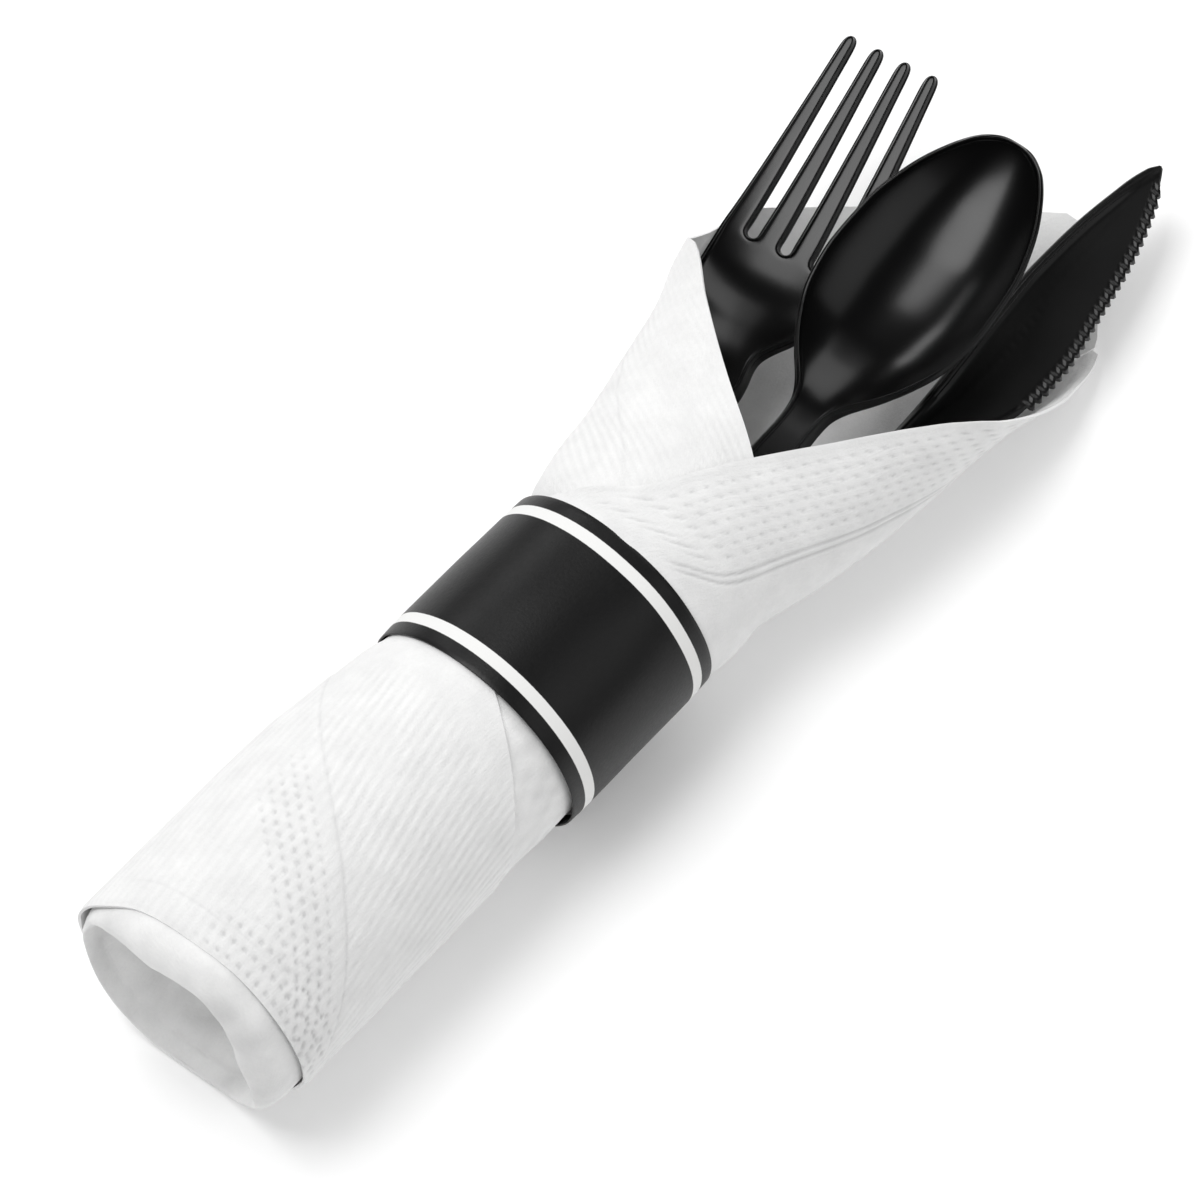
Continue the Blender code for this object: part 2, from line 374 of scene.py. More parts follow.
@dataclass(frozen=True)
class PrintedPaper:
    """Black printed band paper with a white line near each edge."""

    ink: tuple[float, float, float] = (0.0048, 0.0048, 0.005)
    white: tuple[float, float, float] = (0.80, 0.80, 0.79)
    middle: float = 0.0
    stripe_at: float = 14.87
    stripe_width: float = 2.46

    def material(self, name: str) -> bpy.types.Material:
        """Build the finish."""
        g = Graph(name)
        where = g.place()
        along = g.wire("ShaderNodeSeparateXYZ", {}, {"Vector": where}, "X")
        fibre = g.noise(where, 1500.0, 4.0, 0.65)
        ragged = (fibre - 0.5) * 0.00012
        off = ((along - self.middle).absolute() - self.stripe_at * MM + ragged).absolute()
        line = off.below(self.stripe_width * MM / 2.0, 0.00012)
        return g.finish({
            "Base Color": g.mixed(line, self.ink, self.white),
            "Roughness": 0.42 + (fibre - 0.5) * 0.16 + line * 0.2,
            "Metallic": 0.0,
            "Specular IOR Level": 0.35,
            "Normal": g.bump(fibre + line * 0.4, 0.000035),
        })


# ---- meshes


def only(thing: bpy.types.Object) -> bpy.types.Object:
    """Make this the one selected and active object."""
    bpy.ops.object.select_all(action="DESELECT")
    thing.select_set(True)
    bpy.context.view_layer.objects.active = thing
    return thing


def strip_object(name: str, points: Array, uv: Array) -> bpy.types.Object:
    """An open sheet of quads from a grid of points.

    Args:
        name: The piece's name.
        points: Rows by columns by three, in millimetres in the roll frame. Outwards is rows cross columns.
        uv: Rows by columns by two: where each point lies on the flat strip, in millimetres.

    Returns:
        The open sheet.
    """
    index = np.arange(points.shape[0] * points.shape[1]).reshape(points.shape[:2])
    faces = np.stack([index[:-1, :-1], index[1:, :-1], index[1:, 1:], index[:-1, 1:]], axis=-1)
    plain = np.zeros(points.shape[:2])
    return mesh_object(name, points.reshape(-1, 3), faces.reshape(-1, 4).tolist(), uv.reshape(-1, 2), plain)


def mesh_object(
    name: str, points: Array, faces: list[list[int]], uv: Array, relief: Array
) -> bpy.types.Object:
    """An object from points in millimetres, faces, each point's place on the flat sheet and its relief."""
    mesh = bpy.data.meshes.new(name)
    mesh.from_pydata(to_row(points).tolist(), [], faces)
    layer = mesh.uv_layers.new(name="sheet")
    loops = np.zeros(len(mesh.loops), np.int32)
    mesh.loops.foreach_get("vertex_index", loops)
    layer.data.foreach_set("uv", (uv[loops] * MM).ravel())
    # The relief attribute feeds the tissue's colour: painted shade where it is low, painted light where it
    # is high.
    depth = mesh.attributes.new(name="relief", type="FLOAT", domain="POINT")
    depth.data.foreach_set("value", relief.ravel())
    thing = bpy.data.objects.new(name, mesh)
    bpy.context.scene.collection.objects.link(thing)
    return only(thing)


def raise_surface(points: Array, height: Array) -> Array:
    """Move each point of a grid along the surface's normal, which is rows cross columns.

    Args:
        points: Rows by columns by three.
        height: Rows by columns.

    Returns:
        The moved points.
    """
    normal = np.cross(np.gradient(points, axis=0), np.gradient(points, axis=1))
    normal /= np.maximum(np.linalg.norm(normal, axis=-1, keepdims=True), 1e-9)
    return points + normal * height[..., None]


@dataclass
class Layer:
    """One layer of a thin sheet: a fine outer side, and how many of its cells an inner cell spans."""

    points: Array
    uv: Array
    # Embossing height, also carried to the tissue's colour as painted shade in pits and creases and painted
    # light on ridges.
    relief: Array
    coarse: int = 3

    def sides(self) -> tuple[Array, Array]:
        """The rows and the columns that the inner side keeps."""
        rows, columns = self.points.shape[:2]
        kept = [np.append(np.arange(0, count - 1, self.coarse), count - 1) for count in (rows, columns)]
        return kept[0], kept[1]

    def closed(self, ply: float, first: int) -> tuple[Array, Array, Array, list[list[int]]]:
        """Close the layer with an inner side and a rim.

        Args:
            ply: The layer's thickness.
            first: The number of its first point.

        Returns:
            Its points, their places on the flat sheet, their relief and its faces.
        """
        rows, columns = self.points.shape[:2]
        kept_rows, kept_columns = self.sides()
        pick = np.ix_(kept_rows, kept_columns)
        inner_points = raise_surface(self.points, np.full((rows, columns), -ply))[pick]
        outer = first + np.arange(rows * columns).reshape(rows, columns)
        inner = outer[-1, -1] + 1 + np.arange(inner_points[..., 0].size).reshape(inner_points.shape[:2])
        quads = np.stack([outer[:-1, :-1], outer[1:, :-1], outer[1:, 1:], outer[:-1, 1:]], axis=-1)
        backs = np.stack([inner[:-1, :-1], inner[:-1, 1:], inner[1:, 1:], inner[1:, :-1]], axis=-1)
        faces = quads.reshape(-1, 4).tolist() + backs.reshape(-1, 4).tolist()
        faces += self.rim(outer[0], inner[0], kept_columns, False)
        faces += self.rim(outer[-1], inner[-1], kept_columns, True)
        faces += self.rim(outer[:, 0], inner[:, 0], kept_rows, True)
        faces += self.rim(outer[:, -1], inner[:, -1], kept_rows, False)
        points = np.concatenate([self.points.reshape(-1, 3), inner_points.reshape(-1, 3)])
        uv = np.concatenate([self.uv.reshape(-1, 2), self.uv[pick].reshape(-1, 2)])
        relief = np.concatenate([self.relief.ravel(), self.relief[pick].ravel()])
        return points, uv, relief, faces

    @staticmethod
    def rim(outer: Array, inner: Array, kept: Array, reverse: bool) -> list[list[int]]:
        """Faces that join one edge of the outer side to the same edge of the inner side."""
        faces = []
        for number, (low, high) in enumerate(zip(kept[:-1], kept[1:])):
            face = outer[low : high + 1].tolist() + [int(inner[number + 1]), int(inner[number])]
            faces.append(face[::-1] if reverse else face)
        return faces


def add_modifier(thing: bpy.types.Object, kind: str, **settings: Any) -> None:
    """Add a modifier and apply it."""
    only(thing)
    modifier = thing.modifiers.new(kind.title(), kind)
    for key, value in settings.items():
        setattr(modifier, key, value)
    bpy.ops.object.modifier_apply(modifier=modifier.name)


def round_off(thing: bpy.types.Object, width: float, degrees: float) -> None:
    """Round the edges that are sharper than this, by a width in millimetres."""
    limit = math.radians(degrees)
    add_modifier(thing, "BEVEL", width=width * MM, segments=2, limit_method="ANGLE", angle_limit=limit)


def smooth(thing: bpy.types.Object, degrees: float) -> None:
    """Shade a piece smooth, with edges sharper than this kept."""
    only(thing)
    bpy.ops.object.shade_smooth_by_angle(angle=math.radians(degrees))


def dress(thing: bpy.types.Object, material: bpy.types.Material) -> bpy.types.Object:
    """Give a piece its material and its body."""
    thing.data.materials.clear()
    thing.data.materials.append(material)
    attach(thing, "root")
    LOG.info("%s: %d faces", thing.name, len(thing.data.polygons))
    return thing


# ---- cutlery


# A handle's end: x, outer half width, rim's height, depth, skirt's width, skirt's drop and ridge's rise
HANDLE: Stations = (
    (0.0, 3.6, 0.0, 0.1, 2.2, 2.4, 1.0), (3.0, 6.2, 0.0, 0.1, 2.2, 2.4, 1.0),
    (8.0, 6.9, 0.0, 0.1, 2.2, 2.4, 1.0), (40.0, 6.4, 0.0, 0.1, 2.2, 2.4, 1.0),
)


@dataclass(frozen=True)
class RimStep:
    """One ring of a moulding's rim: its share of the skirt's width, its rise and its share of the drop."""

    share: float
    rise: float
    drop: float


@dataclass
class Moulding:
    """A moulding of one wall, laid in the roll: a dished sheet whose rim is a fine ridge with a skirt."""

    name: str = "moulding"
    slot: Slot = Slot.SPOON
    spot: tuple[float, float, float] = (0.0, 0.0, 0.0)
    heading: float = 0.0
    pitch: float = 0.0
    wall: float = 1.3
    dish_power: float = 2.5
    # x, outer half width, rim's height, depth of the middle, skirt's width, skirt's drop, ridge's rise
    stations: Stations = ()
    rim: tuple[RimStep, ...] = (
        RimStep(0.10, 0.36, 0.0),
        RimStep(0.24, 0.62, 0.0),
        RimStep(0.38, 0.44, 0.02),
        RimStep(0.56, 0.0, 0.25),
        RimStep(0.84, 0.0, 0.72),
        RimStep(1.00, 0.0, 1.0),
    )

    def lay(self, points: Array) -> Array:
        """Turn points from the moulding's own frame to the roll frame."""
        pitch = math.radians(self.pitch)
        heading = math.radians(self.heading)
        x = points[:, 0] * math.cos(pitch) - points[:, 2] * math.sin(pitch)
        z = points[:, 0] * math.sin(pitch) + points[:, 2] * math.cos(pitch)
        along = x * math.cos(heading) - points[:, 1] * math.sin(heading)
        across = x * math.sin(heading) + points[:, 1] * math.cos(heading)
        return np.stack([along, across, z], axis=1) + np.array(self.spot)

    def plan(self, row: Array, column: Array) -> tuple[Array, Array]:
        """Where the grid's points lie in plan."""
        raise NotImplementedError

    def middle(self, x: Array) -> Array:
        """The middle line's own bend in plan."""
        return np.zeros_like(x)

    def surface(self, x: Array, y: Array) -> Array:
        """Height of the moulding's upper side inside its rim."""
        half, rim, depth = eased(self.stations, x)[:3]
        side = np.clip(np.abs(y - self.middle(x)) / half, 0.0, 1.0)
        return rim - depth * (1.0 - side ** self.dish_power)

    def add_grid(self, rows: int, columns: int) -> tuple[bpy.types.Object, Array, Array]:
        """Add a flat grid and number its points by row and column."""
        bpy.ops.object.select_all(action="DESELECT")
        bpy.ops.mesh.primitive_grid_add(x_subdivisions=rows - 1, y_subdivisions=columns - 1, size=1.0)
        thing = bpy.context.object
        thing.name = self.name
        thing.data.name = self.name
        spots = read_points(thing)
        row = np.round((spots[:, 0] + 0.5) * (rows - 1)).astype(int)
        column = np.round((spots[:, 1] + 0.5) * (columns - 1)).astype(int)
        return thing, row, column

    def start_grid(self, rows: int, columns: int) -> bpy.types.Object:
        """Add the grid and place it in plan, in millimetres."""
        thing, row, column = self.add_grid(rows, columns)
        x, y = self.plan(row, column)
        write_points(thing, np.stack([x, y, np.zeros_like(x)], axis=1))
        return thing

    def grow_ring(self, thing: bpy.types.Object, share: float) -> int:
        """Extrude the sheet's whole boundary outwards in plan.

        Args:
            thing: The sheet, whose faces look up.
            share: The ring's width as a share of the skirt's width.

        Returns:
            How many points were added.
        """
        before = len(thing.data.vertices)
        only(thing)
        bpy.ops.object.mode_set(mode="EDIT")
        bpy.ops.mesh.select_mode(type="EDGE")
        bpy.ops.mesh.select_all(action="DESELECT")
        bpy.ops.mesh.select_non_manifold()
        bpy.ops.mesh.extrude_edges_indiv()
        bpy.ops.object.mode_set(mode="OBJECT")
        mesh = thing.data
        spots = read_points(thing)
        pushes: dict[int, list[Vector]] = {}
        for face in mesh.polygons:
            ring = list(face.vertices)
            if max(ring) < before:
                continue
            for a, b in zip(ring, ring[1:] + ring[:1]):
                if a < before or b < before:
                    continue
                out = Vector((spots[b, 1] - spots[a, 1], spots[a, 0] - spots[b, 0])).normalized()
                pushes.setdefault(a, []).append(out)
                pushes.setdefault(b, []).append(out)
        width = eased(self.stations, spots[:, 0])[3]
        for index, outs in pushes.items():
            mean = sum(outs, Vector((0.0, 0.0))).normalized()
            mitre = 1.0 / max(mean.dot(outs[0]), 0.8)
            spots[index, 0] += mean.x * mitre * share * width[index]
            spots[index, 1] += mean.y * mitre * share * width[index]
        write_points(thing, spots)
        return len(mesh.vertices) - before

    def rimmed(self, thing: bpy.types.Object) -> bpy.types.Object:
        """Grow the rim, lift the sheet to its heights and give it its wall."""
        rings = np.zeros(len(thing.data.vertices), int)
        before = 0.0
        for number, ring in enumerate(self.rim, start=1):
            added = self.grow_ring(thing, ring.share - before)
            rings = np.concatenate([rings, np.full(added, number)])
            before = ring.share
        spots = read_points(thing)
        _, _, _, _, drop, ridge = eased(self.stations, spots[:, 0])
        rises = np.array([0.0] + [ring.rise for ring in self.rim])[rings]
        drops = np.array([0.0] + [ring.drop for ring in self.rim])[rings]
        spots[:, 2] = self.surface(spots[:, 0], spots[:, 1]) + rises * ridge - drops * drop
        write_points(thing, to_row(self.lay(spots)))
        add_modifier(thing, "SOLIDIFY", thickness=self.wall * MM, offset=-1.0)
        add_modifier(thing, "SUBSURF", levels=2, render_levels=2)
        smooth(thing, 180.0)
        return thing


def read_points(thing: bpy.types.Object) -> Array:
    """The points of a mesh."""
    flat = np.zeros(len(thing.data.vertices) * 3)
    thing.data.vertices.foreach_get("co", flat)
    return flat.reshape(-1, 3)


def write_points(thing: bpy.types.Object, points: Array) -> None:
    """Move the points of a mesh."""
    thing.data.vertices.foreach_set("co", points.ravel())
    thing.data.update()


@dataclass
class Spoon(Moulding):
    """The spoon: an oval bowl on a channelled handle."""

    name: str = "spoon_moulding"
    slot: Slot = Slot.SPOON
    spot: tuple[float, float, float] = (-33.3, -9.2, 21.5)
    heading: float = 3.0
    pitch: float = 3.2
    columns: int = 13
    end: float = 166.6
    end_bulge: float = 3.2
    stations: Stations = (
        *HANDLE,
        (75.0, 5.5, 0.0, 0.1, 2.1, 2.4, 1.0), (94.0, 4.8, 0.2, 0.1, 1.95, 2.4, 1.0),
        (101.0, 4.4, 0.5, 0.1, 1.85, 2.3, 1.0), (105.0, 4.7, 0.9, 0.4, 1.75, 2.1, 1.0),
        (109.0, 6.6, 1.4, 1.6, 1.6, 1.9, 1.0), (113.0, 9.9, 2.0, 3.6, 1.5, 1.6, 1.0),
        (118.0, 13.2, 2.8, 5.8, 1.4, 1.4, 1.0), (126.0, 16.6, 4.0, 8.0, 1.3, 1.2, 1.0),
        (135.0, 17.8, 5.3, 8.9, 1.3, 1.2, 1.0), (145.0, 17.3, 6.6, 8.6, 1.3, 1.2, 1.0),
        (154.5, 15.0, 7.8, 7.2, 1.3, 1.2, 1.0), (162.5, 11.2, 8.8, 5.0, 1.3, 1.2, 1.0),
        (168.5, 6.4, 9.5, 2.4, 1.3, 1.2, 1.0), (171.0, 2.4, 9.8, 0.8, 1.3, 1.2, 1.0),
    )

    def rows(self) -> Array:
        """Where the rows of the grid lie along the spoon."""
        return stretches((2.4, 98.0, 26), (99.5, self.end, 36))

    def plan(self, row: Array, column: Array) -> tuple[Array, Array]:
        """Rows follow the outline, and the last ones bow round the bowl's tip."""
        rows = self.rows()
        x = rows[row]
        side = column / (self.columns - 1) * 2.0 - 1.0
        half, _, _, skirt, _, _ = eased(self.stations, x)
        bow = self.end_bulge * step(self.end - 20.0, self.end, x) - 1.0 * (1.0 - step(0.0, 12.0, x))
        return x + bow * (1.0 - side * side), side * (half - skirt)

    def build(self, material: bpy.types.Material) -> bpy.types.Object:
        """Model the spoon and put it in the CAD node's place."""
        thing = self.rimmed(self.start_grid(len(self.rows()), self.columns))
        dress(thing, material)
        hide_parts("spoon")
        return thing


@dataclass
class Fork(Moulding):
    """The fork: a dished palm with four tapering tines."""

    name: str = "fork_moulding"
    slot: Slot = Slot.FORK
    spot: tuple[float, float, float] = (-33.5, 3.3, 17.5)
    heading: float = 9.7
    pitch: float = 1.6
    tines: int = 4
    slot_start: float = 134.4
    length: float = 176.0
    tine_root: float = 5.1
    tine_tip: float = 2.5
    pitch_root: float = 7.3
    pitch_tip: float = 5.98
    neck_sway: float = 5.0
    neck_at: float = 101.0
    neck_reach: float = 20.0
    stations: Stations = (
        *HANDLE,
        (78.0, 5.5, 0.0, 0.1, 2.1, 2.4, 1.0), (99.0, 5.2, 0.4, 0.1, 1.9, 2.4, 1.0),
        (106.0, 5.2, 0.6, 0.2, 1.8, 2.4, 1.0), (110.5, 5.9, 0.4, 0.5, 1.7, 2.3, 1.0),
        (114.5, 8.0, -0.2, 1.1, 1.6, 1.8, 1.0), (118.5, 11.0, -1.1, 1.7, 1.5, 1.6, 1.0),
        (123.0, 13.0, -1.9, 2.0, 1.3, 1.3, 1.0), (128.0, 13.9, -2.4, 1.7, 1.1, 1.1, 0.9),
        (133.0, 13.9, -2.2, 1.1, 0.95, 0.95, 0.8), (137.0, 13.5, -1.6, 0.8, 0.85, 0.9, 0.6),
        (146.0, 12.6, 0.8, 0.5, 0.8, 0.85, 0.5), (158.0, 11.7, 5.0, 0.2, 0.75, 0.8, 0.45),
        (170.0, 10.8, 9.6, 0.0, 0.7, 0.75, 0.4), (176.0, 10.2, 12.0, 0.0, 0.65, 0.7, 0.4),
    )

    def rows(self) -> Array:
        """Where the rows of the grid lie along the fork."""
        handle = np.linspace(2.4, 104.0, 28)
        palm = np.linspace(106.0, self.slot_start, 17)
        tines = np.linspace(self.slot_start, self.length - 0.9, 22)[1:]
        return np.concatenate([handle, palm, tines])

    def slot_row(self) -> int:
        """The row where the slots start."""
        return int(np.argmin(np.abs(self.rows() - self.slot_start)))

    def plan(self, row: Array, column: Array) -> tuple[Array, Array]:
        """Two cells for each tine and two for each slot, which spread evenly towards the handle."""
        x = self.rows()[row]
        count = 4 * self.tines - 1
        half, _, _, skirt, _, _ = eased(self.stations, x)
        even = (column / (count - 1) * 2.0 - 1.0) * (half - skirt)
        t = np.clip((x - self.slot_start) / (self.length - self.slot_start), 0.0, 1.0)
        tine = self.tine_root + (self.tine_tip - self.tine_root) * t - 2.0 * skirt
        gap = self.pitch_root + (self.pitch_tip - self.pitch_root) * t
        number, cell = np.divmod(column, 4)
        inside = (number - (self.tines - 1) / 2.0) * gap
        on_tine = inside + (np.minimum(cell, 2) / 2.0 - 0.5) * np.maximum(tine, 0.3)
        in_slot = inside + gap / 2.0
        split = np.where(cell == 3, in_slot, on_tine)
        share = step(108.0, self.slot_start - 4.0, x)
        y = even * (1.0 - share) + split * share
        start = (row == self.slot_row()) & (cell == 3)
        tip = (row == len(self.rows()) - 1) & (cell == 1)
        x = x - 1.1 * start + 0.5 * tip
        return x, y + self.middle(x)

    def middle(self, x: Array) -> Array:
        """The neck leans a little towards the spoon."""
        return -self.neck_sway * bell(x - self.neck_at, self.neck_reach)

    def cut_slots(self, thing: bpy.types.Object, rows: int, columns: int) -> None:
        """Delete the faces between the tines."""
        only(thing)
        bpy.ops.object.mode_set(mode="EDIT")
        bpy.ops.mesh.select_mode(type="FACE")
        bpy.ops.mesh.select_all(action="DESELECT")
        bpy.ops.object.mode_set(mode="OBJECT")
        first = self.slot_row()
        for face in thing.data.polygons:
            row, column = face.index % (rows - 1), face.index // (rows - 1)
            face.select = row >= first and column % 4 in (2, 3)
        bpy.ops.object.mode_set(mode="EDIT")
        bpy.ops.mesh.delete(type="FACE")
        bpy.ops.object.mode_set(mode="OBJECT")

    def build(self, material: bpy.types.Material) -> bpy.types.Object:
        """Model the fork and put it in the CAD node's place."""
        rows, columns = len(self.rows()), 4 * self.tines - 1
        thing = self.start_grid(rows, columns)
        self.cut_slots(thing, rows, columns)
        self.rimmed(thing)
        dress(thing, material)
        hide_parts("fork")
        return thing


@dataclass
class Knife(Moulding):
    """The knife: a flat blade with a grooved rib along its back and a scalloped, fluted edge."""

    name: str = "knife_moulding"
    slot: Slot = Slot.KNIFE
    spot: tuple[float, float, float] = (-28.0, -9.6, 18.5)
    heading: float = -4.3
    pitch: float = -2.0
    length: float = 192.0
    tooth_pitch: float = 2.1
    teeth_start: float = 134.0
    teeth_end: float = 189.0
    tooth_height: float = 0.6
    # x, the back's side (+Y), the edge's side (-Y), the height
    outline: Stations = (
        (0.0, 2.8, -2.8, 0.0), (2.5, 5.0, -5.0, 0.0), (8.0, 5.8, -5.8, 0.0), (45.0, 5.0, -5.0, 0.0),
        (85.0, 4.6, -4.6, 0.0), (108.0, 4.4, -4.4, 0.0), (118.0, 5.0, -5.6, 0.2),
        (126.0, 5.8, -8.6, 0.6), (129.0, 6.3, -9.9, 0.8), (132.0, 6.8, -10.4, 1.0),
        (145.0, 9.0, -9.4, 1.6), (158.0, 10.9, -6.0, 2.2), (172.0, 11.6, -1.9, 2.8),
        (184.0, 11.1, 3.1, 3.4), (190.0, 10.1, 6.4, 3.8), (192.0, 9.0, 7.8, 4.0),
    )
    near_back: tuple[float, ...] = (0.0, 0.25, 0.55, 0.85, 1.15, 1.45, 1.75, 2.05, 2.35, 2.7, 3.2, 3.8)
    near_edge: tuple[float, ...] = (2.6, 2.2, 1.8, 1.4, 1.05, 0.7, 0.4, 0.15, 0.0)
    across: int = 14
    # Distance from the back, height
    back_section: Stations = (
        (0.0, -0.5), (0.25, 0.2), (0.55, 0.62), (0.85, 0.78), (1.15, 0.52), (1.45, 0.80), (1.75, 0.80),
        (2.05, 0.5), (2.35, 0.62), (2.7, 0.3), (3.2, 0.0), (3.8, 0.0),
    )
    # Distance from either side of the handle, height
    handle_section: Stations = (
        (0.0, -2.2), (0.8, -0.9), (1.3, 0.0), (1.6, 0.3), (1.9, 0.32), (2.4, 0.0), (6.0, 0.0),
    )

    def rows(self) -> Array:
        """Where the rows lie along the knife: close together where the teeth are."""
        handle = np.linspace(0.3, 116.0, 34)
        blade = np.arange(118.0, self.length, 0.35)
        return np.concatenate([handle, blade, [self.length]])

    def edge_wave(self, x: Array) -> Array:
        """How far each tooth stands out, from 0 in a notch to 1 at its middle."""
        phase = (x - self.teeth_start) / self.tooth_pitch
        inside = step(self.teeth_start - 0.2, self.teeth_start + 0.2, x)
        inside = inside * (1.0 - step(self.teeth_end - 0.2, self.teeth_end + 0.2, x))
        return np.abs(np.sin(np.pi * phase)) ** 0.7 * inside

    def build(self, material: bpy.types.Material) -> bpy.types.Object:
        """Model the knife and put it in the CAD node's place."""
        rows = self.rows()
        count = len(self.near_back) + self.across + len(self.near_edge)
        thing, row, column = self.add_grid(len(rows), count)
        column = count - 1 - column
        x = rows[row]
        back, edge, height = eased(self.outline, x)
        wave = self.edge_wave(x)
        width = back - edge + wave * self.tooth_height
        from_back, from_edge = self.stations_across(column, width)
        y = back - from_back
        blade = step(112.0, 127.0, x)
        z_handle = eased(self.handle_section, np.minimum(from_back, from_edge))[0]
        rib_fade = 1.0 - 0.55 * step(176.0, 190.0, x)
        z_blade = eased(self.back_section, from_back)[0] * rib_fade
        z_blade = z_blade - 0.45 * (1.0 - step(0.0, 0.5, from_edge))
        line_at = 0.36 * (back - edge) + 0.5
        z_blade = z_blade + 0.16 * bell(from_back - line_at, 0.35) * (1.0 - step(150.0, 168.0, x))
        z_blade = z_blade + 0.10 * step(-0.2, 0.2, from_back - line_at)
        heel_rim = bell(from_edge - 0.9, 0.5) * (1.0 - step(131.5, 133.5, x)) * step(122.0, 125.0, x)
        flute = wave ** 2 * step(0.05, 0.3, from_edge) * (1.0 - step(1.5, 2.3, from_edge))
        z_blade = z_blade + 0.3 * heel_rim - 0.42 * flute
        z = height + z_handle * (1.0 - blade) + z_blade * blade
        write_points(thing, to_row(self.lay(np.stack([x, y, z], axis=1))))
        add_modifier(thing, "SOLIDIFY", thickness=self.wall * MM, offset=-1.0)
        round_off(thing, 0.22, 50.0)
        smooth(thing, 60.0)
        dress(thing, material)
        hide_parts("knife")
        return thing

    def stations_across(self, column: Array, width: Array) -> tuple[Array, Array]:
        """Distance of each column from the back and from the edge."""
        first = len(self.near_back)
        last = first + self.across
        steps = (column - first + 1) / (self.across + 1)
        back_part = np.array(self.near_back)[np.clip(column, 0, first - 1)]
        edge_part = np.array(self.near_edge)[np.clip(column - last, 0, len(self.near_edge) - 1)]
        scale = np.minimum(1.0, width / (self.near_back[-1] + self.near_edge[0] + 1.0))
        low = self.near_back[-1] * scale
        high = width - self.near_edge[0] * scale
        from_back = np.where(column < first, back_part * scale, low + (high - low) * steps)
        from_back = np.where(column >= last, width - edge_part * scale, from_back)
        return from_back, width - from_back


# ---- band


@dataclass
class PaperBand:
    """The band: a strip of paper glued into a ring, with its lap on the hidden side."""

    width: float = 38.1
    half_wide: float = 24.3
    half_high: float = 23.0
    lift: float = 0.2
    thickness: float = 0.35
    segments: int = 160
    lap_from: float = 0.02
    lap_to: float = 0.30

    def strip(self, name: str, start: float, end: float, out: float) -> bpy.types.Object:
        """A stretch of the ring.

        Args:
            name: The piece's name.
            start: Where it starts, in half turns from the underside, with + to the left.
            end: Where it ends.
            out: How far outside the ring it lies.

        Returns:
            The open strip.
        """
        x = np.linspace(-self.width / 2.0, self.width / 2.0, 40)[:, None]
        count = max(int(self.segments * (end - start) / 2.0), 8) + 1
        turn = np.pi * np.linspace(start, end, count)[None, :]
        edge = np.abs(x) / (self.width / 2.0)
        soft = 0.2 * cloud(x / 13.0 + 7.0, turn * 2.4 + 9.0, 5) * np.sin(turn / 2.0) ** 2 - 0.22 * edge ** 6
        grow = out + soft
        y = (self.half_wide - self.thickness * 0.3 + grow) * np.sin(turn)
        z = self.half_high + self.lift - (self.half_high + grow) * np.cos(turn)
        points = np.stack([np.broadcast_to(x, y.shape), y, np.maximum(z, self.lift)], axis=-1)
        uv = np.stack(np.broadcast_arrays(x, turn * self.half_high, y)[:2], axis=-1)
        return strip_object(name, points[:, ::-1], uv[:, ::-1])

    def build(self, material: bpy.types.Material) -> None:
        """Model the ring and its lap, and put them in the CAD node's place."""
        ring = self.strip("band_ring", 0.0, 2.0, 0.0)
        add_modifier(ring, "WELD", merge_threshold=0.00001)
        lap = self.strip("band_lap", self.lap_from, self.lap_to, 0.3)
        for piece, thick in ((ring, self.thickness), (lap, 0.25)):
            add_modifier(piece, "SOLIDIFY", thickness=thick * MM, offset=-1.0)
            round_off(piece, 0.08, 30.0)
            smooth(piece, 50.0)
            dress(piece, material)
            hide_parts("napkin_band")


# ---- napkin


